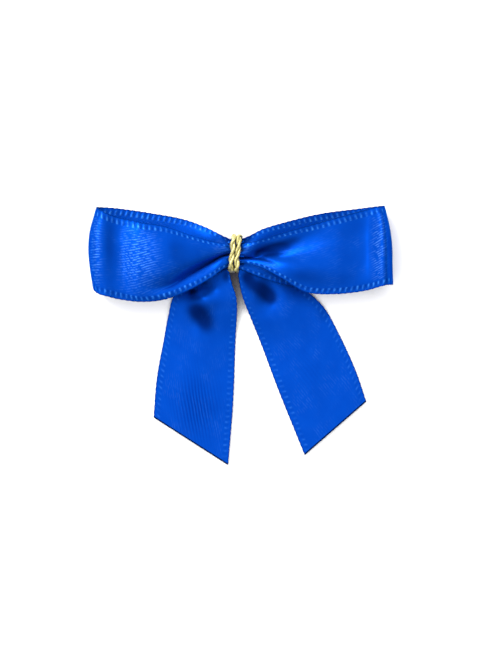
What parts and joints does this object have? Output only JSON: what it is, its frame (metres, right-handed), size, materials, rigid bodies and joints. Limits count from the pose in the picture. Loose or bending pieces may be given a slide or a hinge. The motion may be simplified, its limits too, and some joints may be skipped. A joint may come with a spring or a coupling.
{
  "type": "gift bow",
  "caption": "Small flat satin ribbon bow with flexing loops and tails, cinched by a metallic cord, on an adhesive pad with a peel-off liner.",
  "frame": {"origin": "on the flat back of the release liner, behind the middle of the waist", "axes": "+X towards the bow's right loop, +Y towards its top, away from the tails, +Z out of its front; it lies on its back"},
  "size_m": [0.0606, 0.052, 0.009],
  "materials": {
    "satin_ribbon": "satin",
    "metallic_cord": "metallic thread",
    "foam_pad": "matt foam",
    "liner_paper": "glazed paper"
  },
  "bodies": {
    "root": {"ribbon_waist": "satin_ribbon", "ribbon_left_root": "satin_ribbon", "ribbon_right_root": "satin_ribbon", "cord_wrap": "metallic_cord", "cord_knot": "metallic_cord", "cord_ends": "metallic_cord", "adhesive_pad": "foam_pad"},
    "left_loop": {"ribbon_left_loop": "satin_ribbon"},
    "right_loop": {"ribbon_right_loop": "satin_ribbon"},
    "left_tail": {"ribbon_left_tail": "satin_ribbon"},
    "right_tail": {"ribbon_right_tail": "satin_ribbon"},
    "liner": {"release_liner": "liner_paper"}
  },
  "joints": [
    {"name": "left_loop_lift", "type": "hinge", "parent": "root", "child": "left_loop", "pos_m": [-0.0022, 0, 0.0048], "axis": [0, 1, 0], "range_deg": [0, 40]},
    {"name": "right_loop_lift", "type": "hinge", "parent": "root", "child": "right_loop", "pos_m": [0.0022, 0, 0.0048], "axis": [0, -1, 0], "range_deg": [0, 40]},
    {"name": "left_tail_lift", "type": "hinge", "parent": "root", "child": "left_tail", "pos_m": [-0.0066, -0.0104, 0.00027], "axis": [-0.9962, 0.0872, 0], "range_deg": [0, 70]},
    {"name": "right_tail_lift", "type": "hinge", "parent": "root", "child": "right_tail", "pos_m": [0.0096, -0.0109, 0.00027], "axis": [-0.9205, -0.3907, 0], "range_deg": [0, 70]},
    {"name": "liner_peel", "type": "hinge", "parent": "root", "child": "liner", "pos_m": [0.0046, -0.0004, 0.00012], "axis": [0, -1, 0], "range_deg": [0, 90]}
  ]
}
